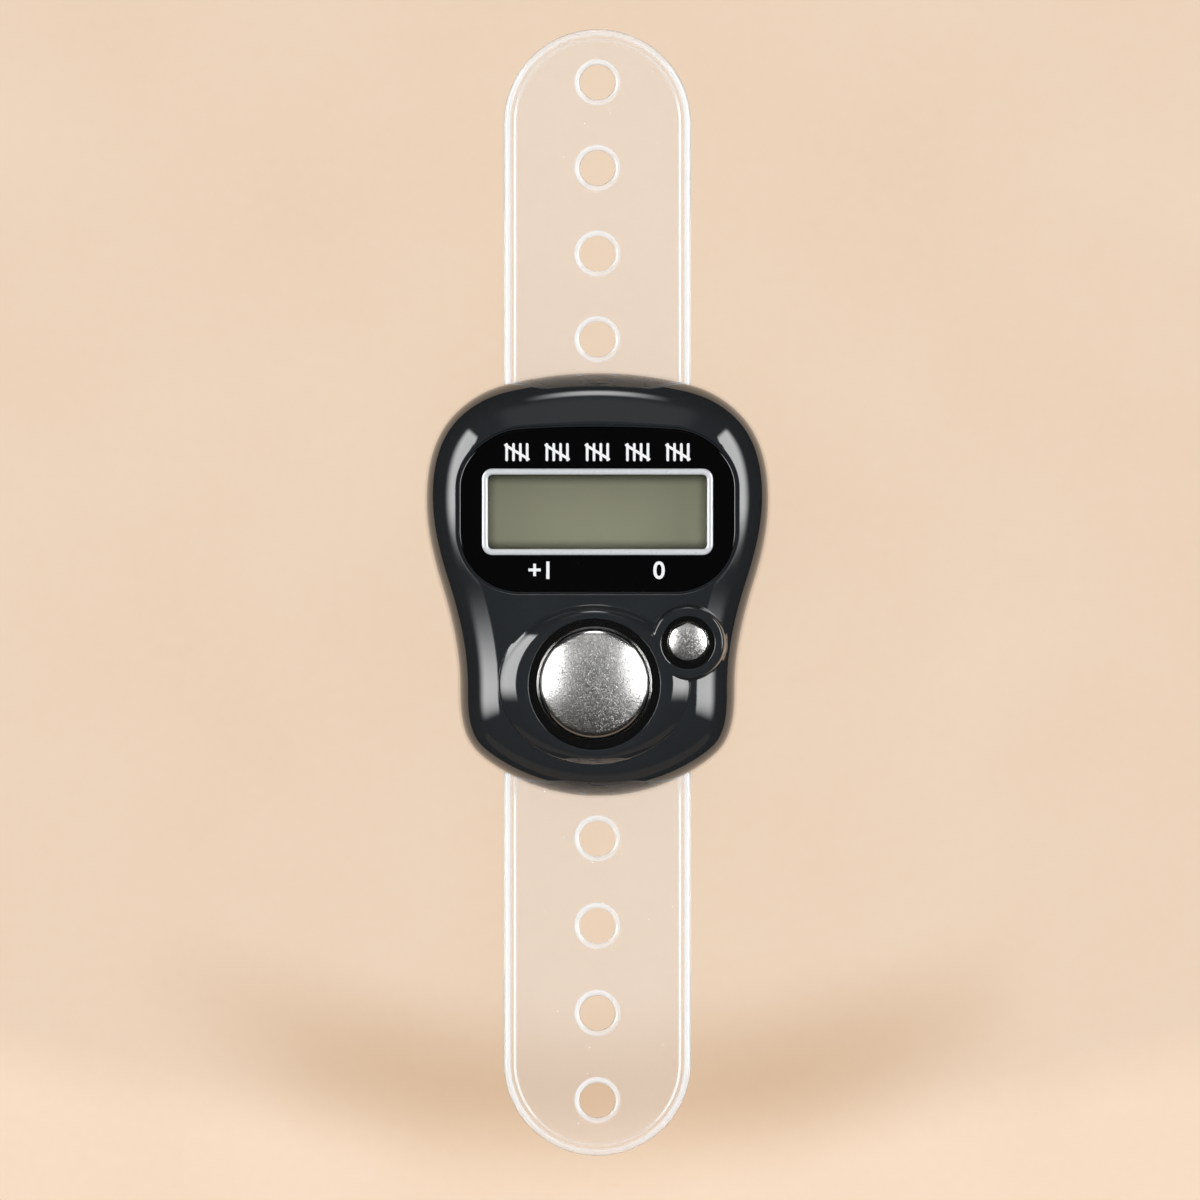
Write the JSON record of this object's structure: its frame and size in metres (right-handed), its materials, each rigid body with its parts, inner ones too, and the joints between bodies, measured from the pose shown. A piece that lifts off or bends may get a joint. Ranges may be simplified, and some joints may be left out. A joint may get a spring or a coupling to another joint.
{
  "type": "finger tally counter",
  "caption": "Finger tally counter: glossy charcoal case with display, domed count and reset buttons, and a clear perforated strap through its back.",
  "frame": {"origin": "middle of the strap in plan, on the surface that the back rests on", "axes": "+Z out of the front with the display and buttons, +Y along the strap towards the display's end, +X to the reset button's side"},
  "size_m": [0.0282, 0.0934, 0.0153],
  "materials": {
    "charcoal_abs": "gloss",
    "black_panel": "gloss",
    "bright_bead": "bright plated",
    "satin_plating": "satin plated",
    "clear_strap": "clear soft plastic, gloss",
    "clear_pane": "clear acrylic",
    "lcd_glass": "clear",
    "polariser": "satin film",
    "reflector_foil": "matte foil",
    "striped_silicone": "matte",
    "white_abs": "matte",
    "green_laminate": "solder mask",
    "black_epoxy": "matte",
    "tan_ceramic": "matte",
    "grey_silicone": "matte",
    "carbon": "matte",
    "cell_steel": "nickel plated",
    "nylon": "matte",
    "nickel_strip": "nickel plated",
    "zinc_steel": "zinc plated"
  },
  "bodies": {
    "case": {"front_housing": "charcoal_abs", "rear_housing": "charcoal_abs", "display_bezel": "black_panel", "window_frame": "bright_bead", "display_window": "clear_pane", "lcd_polariser": "polariser", "lcd_front_glass": "lcd_glass", "lcd_rear_glass": "lcd_glass", "lcd_reflector": "reflector_foil", "zebra_connector": "striped_silicone", "lcd_holder": "white_abs", "circuit_board": "green_laminate", "chip_blob": "black_epoxy", "capacitor": "tan_ceramic", "resistor": "black_epoxy", "count_dome": "grey_silicone", "reset_dome": "grey_silicone", "cell_can": "cell_steel", "cell_gasket": "nylon", "cell_cap": "cell_steel", "battery_contact_positive": "nickel_strip", "battery_contact_negative": "nickel_strip", "strap_middle": "clear_strap", "housing_screw_1": "zinc_steel", "board_screw_1": "zinc_steel", "housing_screw_2": "zinc_steel", "board_screw_2": "zinc_steel", "housing_screw_3": "zinc_steel", "board_screw_3": "zinc_steel", "housing_screw_4": "zinc_steel", "board_screw_4": "zinc_steel"},
    "count_key": {"count_button": "satin_plating", "count_pill": "carbon"},
    "reset_key": {"reset_button": "satin_plating", "reset_pill": "carbon"},
    "strap_upper_end": {"strap_upper": "clear_strap"},
    "strap_lower_end": {"strap_lower": "clear_strap"}
  },
  "joints": [
    {"name": "count_press", "type": "slide", "parent": "case", "child": "count_key", "axis": [0, 0, -1], "range_m": [0, 0.0008], "stiffness_N_per_m": 1250, "deforming": ["count_dome"]},
    {"name": "reset_press", "type": "slide", "parent": "case", "child": "reset_key", "axis": [0, 0, -1], "range_m": [0, 0.0006], "stiffness_N_per_m": 1500, "deforming": ["reset_dome"]},
    {"name": "strap_upper_bend", "type": "hinge", "parent": "case", "child": "strap_upper_end", "pos_m": [0, 0.00965, 0.00155], "axis": [-1, 0, 0], "range_deg": [0, 100], "stiffness_Nm_per_rad": 0.006},
    {"name": "strap_lower_bend", "type": "hinge", "parent": "case", "child": "strap_lower_end", "pos_m": [0, -0.00835, 0.00155], "axis": [1, 0, 0], "range_deg": [0, 100], "stiffness_Nm_per_rad": 0.006}
  ]
}
